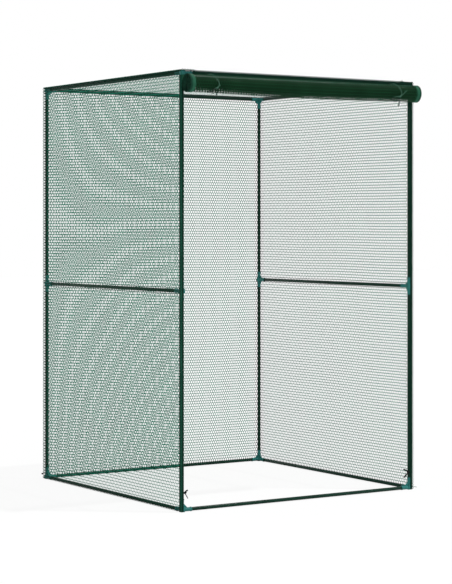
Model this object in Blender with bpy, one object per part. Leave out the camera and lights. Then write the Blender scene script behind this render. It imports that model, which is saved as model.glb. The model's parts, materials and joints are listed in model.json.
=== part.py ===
"""Walk-in fruit cage: a coated tube frame on moulded connectors, four nets and a roll-up door net.

Metres, +Z up, front towards -Y. The cage stands on the ground plane, and its outer box is centred on
the world origin.
"""

import math

import bmesh
import bpy
from mathutils import Vector

# Outside of the frame, over the corner connectors
CAGE_WIDTH = 1.2
CAGE_DEPTH = 1.2
CAGE_HEIGHT = 1.8

# Clear space left between pieces that touch
GAP = 0.0003

# Frame tubes
TUBE_OD = 0.014
TUBE_WALL = 0.0008
ROUND_SIDES = 12

# Moulded connectors: each step is added to the radius of the one before
ARM_STEP = 0.001
COLLAR_STEP = 0.0012
HUB_STEP = 0.0003
COLLAR_LENGTH = 0.005
PEG_LENGTH = 0.025
HUB_CHAMFER = 0.0015
CORNER_REACH = 0.044
TEE_RUN_REACH = 0.0375
TEE_ARM_REACH = 0.05
GUSSET_REACH = 0.0245
GUSSET_THICKNESS = 0.004

# Nets
NET_THICKNESS = 0.001
NET_HEM = 0.02
NET_STRAND = 0.012
NET_GROUND_CLEARANCE = 0.002
NET_COLUMNS = 5
WALL_ROWS = 7
ROOF_ROWS = 5
HEX_SHOULDER_SHARE = 0.7

# Bindings that turn the side nets' front edges onto the front posts
BINDING_SIDE_LEG = 0.02
BINDING_FRONT_LEG = 0.012

# Door net: a sleeve on the front top rail, a hanging strip, and the rest of it rolled up
SLEEVE_THICKNESS = 0.001
SLEEVE_START = math.radians(-215)
SLEEVE_END = math.radians(0)
SLEEVE_STEPS = 10
CURTAIN_THICKNESS = 0.001
CURTAIN_STAND_OFF = 0.0009
CURTAIN_TOP_DROP = 0.008
ROLL_RADIUS = 0.037
ROLL_BORE_RADIUS = 0.012
ROLL_SHEET = 0.002
ROLL_TURNS = 5
ROLL_STEPS = 24
ROLL_DROP = 0.044
ROLL_PAST_LEFT_POST = 0.0085
ROLL_PAST_RIGHT_POST = 0.001

# Cords
TIE_DIAMETER = 0.0022
TIE_CLEARANCE = 0.0005
TIE_FROM_POST = 0.1175
TIE_STEP = 0.0064
TIE_FRONT_SEAT = math.radians(20)
TIE_BACK_SEAT = math.radians(-38)
TIE_KNOT = math.radians(30)
POST_TIE_HEIGHT = 0.078

# Tails of the roll's ties, from the knot: out along x, forward, up
FRONT_TAIL = ((-0.0002, 0.0012, -0.009), (-0.0012, 0.0016, -0.019), (-0.003, 0.0006, -0.029))
BACK_TAIL = ((0.0014, 0.003, 0.005), (0.0062, 0.0048, 0.0096), (0.0125, 0.0052, 0.0122))

# Tails of a post tie, from the post's axis: into the doorway, back, up
UPPER_TAIL = ((0.023, -0.005, 0.0098), (0.0175, -0.0052, 0.0072), (0.012, -0.0052, 0.0038))
LOWER_TAIL = ((0.0112, -0.0056, -0.0042), (0.0172, -0.0052, -0.0118), (0.0248, -0.005, -0.0238))
POST_TIE_START = math.radians(-22)
POST_TIE_END = math.radians(308)
POST_TIE_RING_STEPS = 12

tube_radius = TUBE_OD / 2
bore_radius = tube_radius - TUBE_WALL
arm_radius = tube_radius + ARM_STEP
collar_radius = arm_radius + COLLAR_STEP
hub_half = collar_radius + HUB_STEP
peg_radius = bore_radius - GAP

# Axes of the frame's tubes, from the middle of the cage
axis_x = CAGE_WIDTH / 2 - hub_half
axis_y = CAGE_DEPTH / 2 - hub_half
low_z = hub_half
high_z = CAGE_HEIGHT - hub_half
mid_z = (low_z + high_z) / 2

# Faces of the nets
net_in_x = CAGE_WIDTH / 2 + GAP
net_in_y = CAGE_DEPTH / 2 + GAP
net_out_x = net_in_x + NET_THICKNESS
net_out_y = net_in_y + NET_THICKNESS

# Door
sleeve_radius = tube_radius + GAP + SLEEVE_THICKNESS / 2
sleeve_length = 2 * (axis_x - CORNER_REACH - GAP)
curtain_back_y = -net_out_y - CURTAIN_STAND_OFF
curtain_front_y = curtain_back_y - CURTAIN_THICKNESS
curtain_top_z = high_z - CURTAIN_TOP_DROP
roll_y = curtain_front_y - GAP - ROLL_RADIUS
roll_z = high_z - ROLL_DROP
roll_left = -axis_x - ROLL_PAST_LEFT_POST
roll_right = axis_x + ROLL_PAST_RIGHT_POST
roll_length = roll_right - roll_left
roll_x = (roll_left + roll_right) / 2
tie_radius = TIE_DIAMETER / 2
tie_path_radius = ROLL_RADIUS + TIE_CLEARANCE + tie_radius
tie_back_y = curtain_back_y + GAP + TIE_CLEARANCE / 2 + tie_radius

# The cage is set back so that its whole box, with the roll in front, is centred
set_back = (tie_path_radius + tie_radius - roll_y - net_out_y) / 2


def clear_scene():
    for obj in list(bpy.data.objects):
        bpy.data.objects.remove(obj)


def material(name, colour, roughness, metallic=0.0):
    made = bpy.data.materials.new(name)
    made.use_nodes = True
    made.diffuse_color = (*colour, 1)
    surface = made.node_tree.nodes["Principled BSDF"]
    surface.inputs["Base Color"].default_value = (*colour, 1)
    surface.inputs["Roughness"].default_value = roughness
    surface.inputs["Metallic"].default_value = metallic
    return made


def mesh_from(name, shape, surface):
    """The bmesh as a mesh with its faces out, smooth but for its edges."""
    bmesh.ops.recalc_face_normals(shape, faces=shape.faces)
    mesh = bpy.data.meshes.new(name)
    shape.to_mesh(mesh)
    shape.free()
    return finished(mesh, surface)


def finished(mesh, surface):
    mesh.materials.clear()
    mesh.materials.append(surface)
    mesh.shade_smooth()
    mesh.set_sharp_from_angle(angle=math.radians(35))
    return mesh


def place(name, data, parent, location=(0, 0, 0), rotation=(0, 0, 0)):
    obj = bpy.data.objects.new(name, data)
    obj.parent = parent
    obj.location = location
    obj.rotation_euler = rotation
    bpy.context.collection.objects.link(obj)
    return obj


def extrude_up(shape, length):
    """Extrudes every face of a flat shape along +Z."""
    grown = bmesh.ops.extrude_face_region(shape, geom=shape.faces[:])
    moved = [item for item in grown["geom"] if isinstance(item, bmesh.types.BMVert)]
    bmesh.ops.translate(shape, verts=moved, vec=(0, 0, length))


def tube_mesh(name, length, surface):
    """An open tube along Z about its middle."""
    shape = bmesh.new()
    edges = []
    for radius in (tube_radius, bore_radius):
        ring = bmesh.ops.create_circle(shape, segments=ROUND_SIDES, radius=radius)
        edges += {edge for vert in ring["verts"] for edge in vert.link_edges}
    bmesh.ops.bridge_loops(shape, edges=edges)
    extrude_up(shape, length)
    bmesh.ops.translate(shape, verts=shape.verts, vec=(0, 0, -length / 2))
    return mesh_from(name, shape, surface)


def prism_mesh(name, outline, thickness, surface):
    """A flat outline in XY, as thick along Z and centred on it."""
    shape = bmesh.new()
    shape.faces.new([shape.verts.new((x, y, -thickness / 2)) for x, y in outline])
    extrude_up(shape, thickness)
    return mesh_from(name, shape, surface)


def turned_mesh(name, profile, surface):
    """A solid turned about Z from rings of (radius, height)."""
    shape = bmesh.new()
    rings = []
    for radius, height in profile:
        ring = bmesh.ops.create_circle(shape, segments=ROUND_SIDES, radius=radius)["verts"]
        bmesh.ops.translate(shape, verts=ring, vec=(0, 0, height))
        rings.append(ring)
    for lower, upper in zip(rings, rings[1:]):
        for here, after in zip(range(ROUND_SIDES), [*range(1, ROUND_SIDES), 0]):
            shape.faces.new((lower[here], lower[after], upper[after], upper[here]))
    shape.faces.new(rings[0])
    shape.faces.new(rings[-1])
    return mesh_from(name, shape, surface)


def ribbon_mesh(name, route, thickness, length, surface):
    """A sheet of one thickness along a route of (y, z) points, as long along X and centred on it."""
    sides = []
    for index, here in enumerate(route):
        before = route[max(index - 1, 0)]
        after = route[min(index + 1, len(route) - 1)]
        runs = [(b - a).normalized() for a, b in ((before, here), (here, after)) if a != b]
        normals = [Vector((-run.y, run.x)) for run in runs]
        middle = sum(normals, Vector((0, 0))).normalized()
        sides.append(middle * (thickness / 2 / middle.dot(normals[0])))
    shape = bmesh.new()
    pairs = []
    for here, side in zip(route, sides):
        ends = (here + side, here - side)
        pairs.append([shape.verts.new((-length / 2, end.x, end.y)) for end in ends])
    for (a, b), (c, d) in zip(pairs, pairs[1:]):
        shape.faces.new((a, b, d, c))
    grown = bmesh.ops.extrude_face_region(shape, geom=shape.faces[:])
    moved = [item for item in grown["geom"] if isinstance(item, bmesh.types.BMVert)]
    bmesh.ops.translate(shape, verts=moved, vec=(length, 0, 0))
    return mesh_from(name, shape, surface)


def net_gaps(width, height, rows):
    """The outlines of a net's staggered six-sided gaps, cut off by the hem in every other row."""
    open_height = height - 2 * NET_HEM
    nested = 2 / (1 + HEX_SHOULDER_SHARE)
    pitch_x = (width - 2 * NET_HEM) / NET_COLUMNS
    pitch_y = (open_height + NET_STRAND * nested) / (rows - 1 + nested)
    half_x = (pitch_x - NET_STRAND) / 2
    half_y = (pitch_y - NET_STRAND) * nested / 2
    shoulder = half_y * HEX_SHOULDER_SHARE
    cut_x = NET_STRAND / 2
    cut_y = half_y - (half_y - shoulder) * cut_x / half_x
    whole = [(half_x, -shoulder), (half_x, shoulder), (0, half_y)]
    whole += [(-x, -y) for x, y in whole]
    right_half = [(cut_x, -cut_y), (half_x, -shoulder), (half_x, shoulder), (cut_x, cut_y)]
    left_half = [(-x, -y) for x, y in right_half]
    gaps = []
    for row in range(rows):
        middle_y = (row - (rows - 1) / 2) * pitch_y
        edge = NET_COLUMNS / 2
        if row % 2:
            shapes = [right_half, *[whole] * (NET_COLUMNS - 1), left_half]
        else:
            shapes = [whole] * NET_COLUMNS
            edge -= 1 / 2
        for column, outline in enumerate(shapes):
            middle_x = (column - edge) * pitch_x
            gaps.append([(middle_x + x, middle_y + y) for x, y in outline])
    return gaps


def net_mesh(name, width, height, rows, surface):
    """A hemmed plate in XY with a net's gaps, thick along +Z."""
    border = [(x * width / 2, y * height / 2) for x, y in ((-1, -1), (1, -1), (1, 1), (-1, 1))]
    shape = bmesh.new()
    for loop in [border, *net_gaps(width, height, rows)]:
        verts = [shape.verts.new((x, y, 0)) for x, y in loop]
        for here, after in zip(verts, [*verts[1:], verts[0]]):
            shape.edges.new((here, after))
    bmesh.ops.triangle_fill(shape, edges=shape.edges[:], use_beauty=True)
    extrude_up(shape, NET_THICKNESS)
    return mesh_from(name, shape, surface)


def facing(axis):
    """The rotation that turns +Z onto a unit axis and keeps the sides of round pieces in line."""
    x, y, z = axis
    if x:
        return (0, math.radians(90) * x, 0)
    if y:
        return (math.radians(-90) * y, 0, 0)
    return (0, 0, 0) if z > 0 else (math.radians(180), 0, 0)


def arm_mesh(reach, surface):
    profile = (
        (arm_radius, 0),
        (arm_radius, reach - COLLAR_LENGTH),
        (collar_radius, reach - COLLAR_LENGTH),
        (collar_radius, reach),
        (peg_radius, reach),
        (peg_radius, reach + PEG_LENGTH),
    )
    return turned_mesh("arm", profile, surface)


def hub_mesh(surface):
    shape = bmesh.new()
    bmesh.ops.create_cube(shape, size=2 * hub_half)
    bmesh.ops.bevel(shape, geom=shape.edges[:], offset=HUB_CHAMFER, segments=1, affect="EDGES")
    return mesh_from("hub", shape, surface)


def gusset_mesh(surface):
    outline = (
        (0, 0),
        (GUSSET_REACH, 0),
        (GUSSET_REACH, arm_radius),
        (arm_radius, GUSSET_REACH),
        (0, GUSSET_REACH),
    )
    return prism_mesh("gusset", outline, GUSSET_THICKNESS, surface)


def connector_mesh(name, arms, gussets, surface):
    """A hub with an arm along each (axis, reach) and a web turned to each gusset's rotation."""
    hub = place("hub", hub_mesh(surface), None)
    helpers = [place("arm", arm_mesh(reach, surface), None, rotation=facing(axis)) for axis, reach in arms]
    helpers += [place("gusset", gusset_mesh(surface), None, rotation=turn) for turn in gussets]
    for helper in helpers:
        join = hub.modifiers.new("join", "BOOLEAN")
        join.operation = "UNION"
        join.object = helper
    bpy.context.view_layer.update()
    graph = bpy.context.evaluated_depsgraph_get()
    mesh = bpy.data.meshes.new_from_object(hub.evaluated_get(graph))
    mesh.name = name
    for helper in [hub, *helpers]:
        bpy.data.objects.remove(helper)
    return finished(mesh, surface)


def build_tubes(cage, surface):
    across = tube_mesh("rail_across", 2 * (axis_x - CORNER_REACH - GAP), surface)
    along = tube_mesh("rail_along", 2 * (axis_y - CORNER_REACH - GAP), surface)
    middle = tube_mesh("rail_middle", 2 * (axis_y - TEE_ARM_REACH - GAP), surface)
    for level, z in (("bottom", low_z), ("top", high_z)):
        for side, y in (("front", -axis_y), ("back", axis_y)):
            place(f"{level}_rail_{side}", across, cage, (0, y, z), facing((1, 0, 0)))
        for side, x in (("left", -axis_x), ("right", axis_x)):
            place(f"{level}_rail_{side}", along, cage, (x, 0, z), facing((0, 1, 0)))
    for side, x in (("left", -axis_x), ("right", axis_x)):
        place(f"mid_rail_{side}", middle, cage, (x, 0, mid_z), facing((0, 1, 0)))
    foot = low_z + CORNER_REACH + GAP
    waist = mid_z - TEE_RUN_REACH - GAP
    post = tube_mesh("post", waist - foot, surface)
    lower_z = (foot + waist) / 2
    for end, y in (("front", -axis_y), ("back", axis_y)):
        for side, x in (("left", -axis_x), ("right", axis_x)):
            place(f"post_{end}_{side}_lower", post, cage, (x, y, lower_z))
            place(f"post_{end}_{side}_upper", post, cage, (x, y, 2 * mid_z - lower_z))


def build_connectors(cage, surface):
    right_angle = math.radians(90)
    corner_arms = tuple((axis, CORNER_REACH) for axis in ((1, 0, 0), (0, 1, 0), (0, 0, 1)))
    corner_webs = ((0, 0, 0), (right_angle, 0, 0), (0, -right_angle, 0))
    corner = connector_mesh("corner_connector", corner_arms, corner_webs, surface)
    quarter_turns = {
        "bottom": {("front", "left"): 0, ("front", "right"): 1, ("back", "right"): 2, ("back", "left"): 3},
        "top": {("back", "left"): 0, ("front", "left"): 1, ("front", "right"): 2, ("back", "right"): 3},
    }
    places_x = {"left": -axis_x, "right": axis_x}
    places_y = {"front": -axis_y, "back": axis_y}
    for level, turns in quarter_turns.items():
        z, flip = (low_z, 0) if level == "bottom" else (high_z, math.radians(180))
        for (end, side), turn in turns.items():
            location = (places_x[side], places_y[end], z)
            place(f"corner_{end}_{side}_{level}", corner, cage, location, (flip, 0, turn * right_angle))
    tee_arms = (((0, 0, 1), TEE_RUN_REACH), ((0, 0, -1), TEE_RUN_REACH), ((0, 1, 0), TEE_ARM_REACH))
    tee_webs = ((0, -right_angle, 0), (0, right_angle, 0))
    tee = connector_mesh("tee_connector", tee_arms, tee_webs, surface)
    for end, y in places_y.items():
        for side, x in places_x.items():
            turn = 0 if end == "front" else math.radians(180)
            place(f"tee_{end}_{side}", tee, cage, (x, y, mid_z), (0, 0, turn))


def build_nets(cage, surface):
    right_angle = math.radians(90)
    binding_edge = net_out_y - BINDING_SIDE_LEG
    side_width = binding_edge - GAP + net_out_y
    side_y = (net_out_y - binding_edge + GAP) / 2
    wall_height = CAGE_HEIGHT - NET_GROUND_CLEARANCE
    wall_z = (CAGE_HEIGHT + NET_GROUND_CLEARANCE) / 2
    side = net_mesh("side_net", side_width, wall_height, WALL_ROWS, surface)
    place("net_right", side, cage, (net_in_x, side_y, wall_z), (right_angle, 0, right_angle))
    place("net_left", side, cage, (-net_out_x, side_y, wall_z), (right_angle, 0, right_angle))
    back = net_mesh("back_net", 2 * (net_in_x - GAP), wall_height, WALL_ROWS, surface)
    place("net_back", back, cage, (0, net_out_y, wall_z), (right_angle, 0, 0))
    roof = net_mesh("roof_net", 2 * net_out_x, 2 * net_out_y, ROOF_ROWS, surface)
    place("net_roof", roof, cage, (0, 0, CAGE_HEIGHT + GAP))
    half = NET_THICKNESS / 2
    side_leg = BINDING_SIDE_LEG - half
    front_leg = BINDING_FRONT_LEG - half
    for name, sign, legs, turn in (
        ("binding_left", -1, (front_leg, side_leg), -right_angle),
        ("binding_right", 1, (side_leg, front_leg), 0),
    ):
        route = (Vector((legs[0], 0)), Vector((0, 0)), Vector((0, legs[1])))
        binding = ribbon_mesh(name, route, NET_THICKNESS, wall_height, surface)
        location = (sign * (net_in_x + half), -net_in_y - half, wall_z)
        place(name, binding, cage, location, (0, -right_angle, turn))


def sleeve_route():
    """Up the back of the rail, over it to its front, then down and forward to the curtain's top."""
    route = []
    for step in range(SLEEVE_STEPS + 1):
        angle = SLEEVE_START + (SLEEVE_END - SLEEVE_START) * step / SLEEVE_STEPS
        route.append(Vector((-math.cos(angle), -math.sin(angle))) * sleeve_radius)
    seam_y = (curtain_back_y + curtain_front_y) / 2 + axis_y
    route.append(Vector((seam_y, curtain_top_z + GAP - high_z)))
    return route


def roll_route():
    """The rolled sheet's middle line, from the bore out to where the curtain leaves it at the back."""
    inner = ROLL_BORE_RADIUS + ROLL_SHEET / 2
    outer = ROLL_RADIUS - ROLL_SHEET / 2
    steps = ROLL_TURNS * ROLL_STEPS
    route = []
    for step in range(steps + 1):
        radius = inner + (outer - inner) * step / steps
        angle = 2 * math.pi * step / ROLL_STEPS
        route.append(Vector((math.cos(angle), math.sin(angle))) * radius)
    return route


def print_roll_gap(route):
    gaps = [
        (near - far).length - ROLL_SHEET
        for near, far in zip(route, route[ROLL_STEPS:])
    ]
    print(f"door_roll: least gap to itself {min(gaps) * 1000:.2f} mm")


def build_door(cage, surface):
    sleeve = ribbon_mesh("door_sleeve", sleeve_route(), SLEEVE_THICKNESS, sleeve_length, surface)
    place("door_sleeve", sleeve, cage, (0, -axis_y, high_z))
    height = curtain_top_z - roll_z
    edge = CURTAIN_THICKNESS / 2
    outline = (
        (roll_left, -height),
        (roll_right, -height),
        (roll_right, 0),
        (roll_left, 0),
    )
    curtain = prism_mesh("door_curtain", outline, CURTAIN_THICKNESS, surface)
    location = (0, curtain_front_y + edge, curtain_top_z)
    place("door_curtain", curtain, cage, location, (math.radians(90), 0, 0))
    roll_axis = place("door_roll_axis", None, cage, (roll_x, roll_y, roll_z))
    route = roll_route()
    print_roll_gap(route)
    roll = ribbon_mesh("door_roll", route, ROLL_SHEET, roll_length, surface)
    place("door_roll", roll, roll_axis)


def smooth_route(points):
    """Points a step apart along a smooth curve through the route's own points."""
    points = [Vector(point) for point in points]
    ends = [2 * points[0] - points[1], *points, 2 * points[-1] - points[-2]]
    route = []
    for a, b, c, d in zip(ends, ends[1:], ends[2:], ends[3:]):
        steps = max(1, round((c - b).length / TIE_STEP))
        for step in range(steps):
            t = step / steps
            slope = (c - a) * t + (2 * a - 5 * b + 4 * c - d) * t**2 + (3 * b - 3 * c + d - a) * t**3
            route.append(b + slope / 2)
    route.append(points[-1])
    return route


def place_cord(name, points, cage, surface):
    route = smooth_route(points)
    data = bpy.data.curves.new(name, "CURVE")
    data.dimensions = "3D"
    data.bevel_depth = tie_radius
    data.bevel_resolution = 2
    data.use_fill_caps = True
    data.materials.append(surface)
    line = data.splines.new("POLY")
    line.points.add(len(route) - 1)
    for point, here in zip(line.points, route):
        point.co = (*here, 1)
    return place(name, data, cage)


def roll_point(angle, x):
    """On the tie's path round the roll, by its angle from the front towards the ground."""
    y = roll_y - tie_path_radius * math.cos(angle)
    return Vector((x, y, roll_z - tie_path_radius * math.sin(angle)))


def seat_point(angle, x):
    """At the sleeve's skin, by its angle from the front towards the sky."""
    radius = sleeve_radius + SLEEVE_THICKNESS / 2 + 2 * GAP
    return Vector((x, -axis_y - radius * math.cos(angle), high_z + radius * math.sin(angle)))


def roll_tie_routes(x):
    """The strand that comes over the front of the roll, and the one that comes up from behind it."""
    apart = tie_radius + TIE_CLEARANCE
    over = [seat_point(TIE_FRONT_SEAT, x - apart)]
    over += [roll_point(math.radians(angle), x - apart) for angle in range(-105, 30, 15)]
    over.append(roll_point(TIE_KNOT, x - apart))
    over += [over[-1] + Vector((out, -forward, up)) for out, forward, up in FRONT_TAIL]
    under = [seat_point(TIE_BACK_SEAT, x + apart)]
    under.append(Vector((x + apart, tie_back_y, (roll_z + curtain_top_z) / 2)))
    under.append(Vector((x + apart, tie_back_y, roll_z)))
    under += [roll_point(math.radians(angle), x + apart) for angle in range(160, 30, -15)]
    under.append(roll_point(TIE_KNOT, x + apart))
    under += [under[-1] + Vector((out, -forward, up)) for out, forward, up in BACK_TAIL]
    return over, under


def post_tie_route(side):
    """A cord once round a front post, its two ends left in the doorway."""
    rise = tie_radius + TIE_CLEARANCE / 2
    radius = tube_radius + GAP + tie_radius
    ring = []
    for step in range(POST_TIE_RING_STEPS + 1):
        share = step / POST_TIE_RING_STEPS
        angle = POST_TIE_START + (POST_TIE_END - POST_TIE_START) * share
        ring.append((radius * math.cos(angle), radius * math.sin(angle), rise * (1 - 2 * share)))
    local = [*UPPER_TAIL, *ring, *LOWER_TAIL]
    return [(side * (axis_x - x), y - axis_y, POST_TIE_HEIGHT + z) for x, y, z in local]


def build_ties(cage, roll_surface, post_surface):
    for side, sign in (("left", -1), ("right", 1)):
        over, under = roll_tie_routes(sign * (axis_x - TIE_FROM_POST))
        place_cord(f"roll_tie_{side}_front", over, cage, roll_surface)
        place_cord(f"roll_tie_{side}_back", under, cage, roll_surface)
        place_cord(f"post_tie_{side}", post_tie_route(sign), cage, post_surface)


def build_cage():
    clear_scene()
    cage = place("cage", None, None, (0, set_back, 0))
    painted = material("painted_tube", (0.012, 0.045, 0.028), 0.35)
    moulded = material("moulded_plastic", (0.03, 0.19, 0.16), 0.5)
    netting = material("netting", (0.014, 0.1, 0.06), 0.7)
    door_cord = material("door_cord", (0.04, 0.09, 0.06), 0.8)
    black_cord = material("black_cord", (0.006, 0.01, 0.008), 0.8)
    build_tubes(cage, painted)
    build_connectors(cage, moulded)
    build_nets(cage, netting)
    build_door(cage, netting)
    build_ties(cage, door_cord, black_cord)


build_cage()
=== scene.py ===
"""Looks of a walk-in fruit cage: coated tubes, moulded connectors, knitted nets and a rolled door net."""

import bisect
import json
import math

import bmesh
import bpy
from mathutils import Matrix, Vector


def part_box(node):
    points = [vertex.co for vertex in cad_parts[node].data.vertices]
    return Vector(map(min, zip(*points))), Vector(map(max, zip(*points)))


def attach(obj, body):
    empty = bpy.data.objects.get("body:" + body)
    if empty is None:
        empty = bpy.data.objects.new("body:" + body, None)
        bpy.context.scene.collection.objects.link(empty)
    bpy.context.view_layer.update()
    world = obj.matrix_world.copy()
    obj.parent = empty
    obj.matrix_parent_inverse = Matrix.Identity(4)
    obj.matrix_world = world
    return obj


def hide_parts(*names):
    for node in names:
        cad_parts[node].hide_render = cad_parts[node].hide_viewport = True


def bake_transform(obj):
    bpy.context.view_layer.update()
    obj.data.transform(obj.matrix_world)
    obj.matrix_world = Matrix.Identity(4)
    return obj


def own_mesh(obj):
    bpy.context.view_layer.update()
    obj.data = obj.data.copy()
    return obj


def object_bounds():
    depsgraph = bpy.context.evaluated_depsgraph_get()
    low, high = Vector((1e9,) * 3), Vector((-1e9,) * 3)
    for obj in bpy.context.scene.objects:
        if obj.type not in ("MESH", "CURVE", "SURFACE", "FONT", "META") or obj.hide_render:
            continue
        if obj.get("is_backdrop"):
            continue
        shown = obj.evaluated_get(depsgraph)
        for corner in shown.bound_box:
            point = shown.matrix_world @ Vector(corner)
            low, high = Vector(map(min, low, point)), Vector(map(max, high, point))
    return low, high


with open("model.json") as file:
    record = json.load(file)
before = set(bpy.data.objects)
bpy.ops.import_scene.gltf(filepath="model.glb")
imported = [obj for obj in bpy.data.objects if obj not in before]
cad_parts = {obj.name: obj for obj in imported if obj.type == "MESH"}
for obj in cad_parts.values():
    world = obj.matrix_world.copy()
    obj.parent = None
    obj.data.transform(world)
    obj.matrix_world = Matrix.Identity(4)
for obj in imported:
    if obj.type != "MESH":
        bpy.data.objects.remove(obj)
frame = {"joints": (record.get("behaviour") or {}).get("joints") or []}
cad_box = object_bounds()

FRAME_BODY = "frame"
ROLL_BODY = "door_roll"
DROP_JOINT = "door_drop"

# Camera, level, placed from the middle of the cage; the image's measures are in pixels
CAMERA_PLACE = (-4.557, -6.990, 1.1692)
CAMERA_YAW = math.radians(-33.154)
IMAGE_LONG_SIDE = 584
IMAGE_FOCUS = 1847.5
IMAGE_HORIZON = 225.07

# Clear space left between pieces that touch
GAP = 0.0003

# Tubes and connectors, as the frame's own
TUBE_WALL = 0.0008
TUBE_COATING = 0.0005
TUBE_SIDES = 32
PEG_LENGTH = 0.025
ARM_STEP = 0.001
ARM_ROUNDING = 0.0005
COLLAR_STEP = 0.0012
COLLAR_LENGTH = 0.005
HUB_HALF = 0.0095
HUB_ROUNDING = 0.0018
CORNER_REACH = 0.044
TEE_RUN_REACH = 0.0375
TEE_ARM_REACH = 0.05
GUSSET_REACH = 0.0245
GUSSET_THICKNESS = 0.004
GUSSET_ROUNDING = 0.0006

# Netting: its meshes, its strands, and the share of its area that they cover
MESH_PITCH = 0.01265
MESH_ROW = 0.0125
MESH_WAVE = 0.0032
SIDE_STRAND = 0.0029
ROW_STRAND = 0.003
STRAND_RELIEF = 0.00018
HEM_ROWS = 2
JOIN_REACH = 1e-5

# How a held net ripples: waves, each by its turns across and along the net and its phase
NET_RIPPLE = 0.003
NET_WAVES = ((3, 0.7, 0), (-1.3, 4, 1))
ROW_DRIFT = (1.6, 0.5, 2)
ROOF_SAG = 0.006

# Bands of painted shade where a net lies tight on a tube, and their soft edge
RAIL_BAND_PAST_TUBE = 0.0045
SELVEDGE_HALF = 0.017
OVER_TUBE_EDGE = 0.004

# How the roof net's front edge dips onto the front rail between the mouldings
ROOF_DIP = 0.0026
ROOF_DIP_RISE = 0.02
ROOF_DIP_DEPTH = 0.04

# Loops at the nets' edges, and the longer ones below the tape on the front rail
LOOP_STRAND = 0.0024
LOOP_REACH = 0.0032
LOOP_TOP_SHARE = 0.3
BAND_STRAND = 0.0034
BAND_LOOP_REACH = 0.0085
BAND_LOOP_RISE = 0.0028

# Hem tape along the door net's sides: its ribs, and the cord in its outer edge, whose share of the width is
# painted darker as shade
TAPE_WIDTH = 0.022
TAPE_THICKNESS = 0.0005
TAPE_RIB = 0.0003
TAPE_CORD = 0.0009
TAPE_CORD_SHARE = 0.4

# Folded tape: down and back over the front rail, round the posts, and along the roof's seams
TOP_TAPE_FRONT = 0.0155
TOP_TAPE_BACK = 0.012
BINDING_SIDE = 0.015
SEAM_DOWN = 0.0055
SEAM_IN = 0.008
FOLD = 0.0012

# The door's sleeve on the front rail, from its front over to its back
SLEEVE_DEGREES = range(0, 220, 10)

# Door net: rolled tight, with its last turn loose round it
DOOR_LENGTH = 1.74
LOOSE_TURN = math.radians(400)
SETTLING_TURN = math.radians(200)
LOOSE_RADIUS = 0.0366
LOOSE_CREEP = 0.0012
CORE_RADIUS = 0.028
CORE_PITCH = 0.0018
CORE_RISE = 0.0018
ROUTE_STEP = 0.0015

# How the roll hangs: its sag, its open ends, and its loose turn, drawn in at the ties
EVEN_SAG = 0.0018
MIDDLE_SAG = 0.0058
FLARE_START = 0.024
FLARE_LENGTH = 0.012
FLARE_RADIUS = 0.0348
TIE_PINCH = 0.0012
TIE_PINCH_REACH = 0.025
WANDER = 0.0003
WANDER_ALONG = 23
WANDER_ROUND = 2.2

# Hanging strip behind the roll: its open top, and the height within which the rest is drawn up
OPEN_TOP = 0.0125
GATHER_DEPTH = 0.022
GATHER_STEPS = 4000

# Cords: the frame's own thickness, the widths that the photograph shows, and their two plies
TIE_DIAMETER = 0.0022
TIE_CLEARANCE = 0.0005
CORD_LOOK = 0.003
LACE_LOOK = 0.0022
TAIL_LOOK = 0.0046
POST_CORD_LOOK = 0.004
BIGHT_LOOK = 0.0066
TIE_TWIST = 0.008
PLY_SHARE = 0.56
CORD_STEP = 0.001

# Knots: the width of each, and its cord beside the tie's
ROLL_KNOT = 0.0075
POST_KNOT = 0.0085
CORNER_KNOT = 0.006
KNOT_CORD_SHARE = 0.9
KNOT_FLATNESS = 0.9
KNOT_STEPS = 60

# Roll ties: where they sit, their slant along the roll, every 15 degrees over its front, and how far below
# and behind the roll they get painted shade
TIE_FROM_POST = 0.1175
TIE_FRONT_SEAT = math.radians(20)
TIE_BACK_SEAT = math.radians(-38)
TIE_SEAT_STEP = 0.0019
TIE_KNOT = math.radians(30)
TIE_SLANTS = (-0.012, -0.012, -0.011, -0.0085, -0.005, -0.001, 0.0035, 0.0075, 0.0065)
TIE_SHADE_BELOW = 0.0215
TIE_SHADE_BEHIND = 0.014

# Tails and loop of each roll tie, from its knot: along x, back, up
OVER_TAILS = {
    "left": ((-0.0002, -0.0012, -0.009), (-0.0014, -0.0016, -0.019), (-0.0034, -0.0008, -0.0295)),
    "right": ((-0.0008, -0.0012, -0.009), (-0.003, -0.0016, -0.021), (-0.006, -0.0012, -0.034),
              (-0.0105, -0.0008, -0.0415)),
}
UNDER_TAILS = {
    "left": ((0.0014, -0.003, 0.005), (0.0062, -0.0048, 0.0096), (0.0105, -0.0052, 0.0112)),
    "right": ((0.004, -0.003, 0.005), (0.014, -0.0048, 0.0125), (0.024, -0.0052, 0.0215),
              (0.0315, -0.0054, 0.0285)),
}
TIE_LOOPS = {
    "left": ((0, 0, 0), (-0.009, -0.001, -0.006), (-0.022, 0.011, -0.0145), (-0.031, 0.019, -0.0185),
             (-0.034, 0.0215, -0.0165), (-0.027, 0.012, -0.0105), (-0.012, 0.001, -0.003), (0, 0, 0.002)),
    "right": ((0, 0, 0), (-0.01, -0.001, -0.0045), (-0.024, 0.006, -0.0115), (-0.035, 0.011, -0.0135),
              (-0.04, 0.0095, -0.009), (-0.03, 0.003, -0.003), (-0.012, -0.0005, 0.0005), (0, 0, 0.002)),
}

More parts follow.
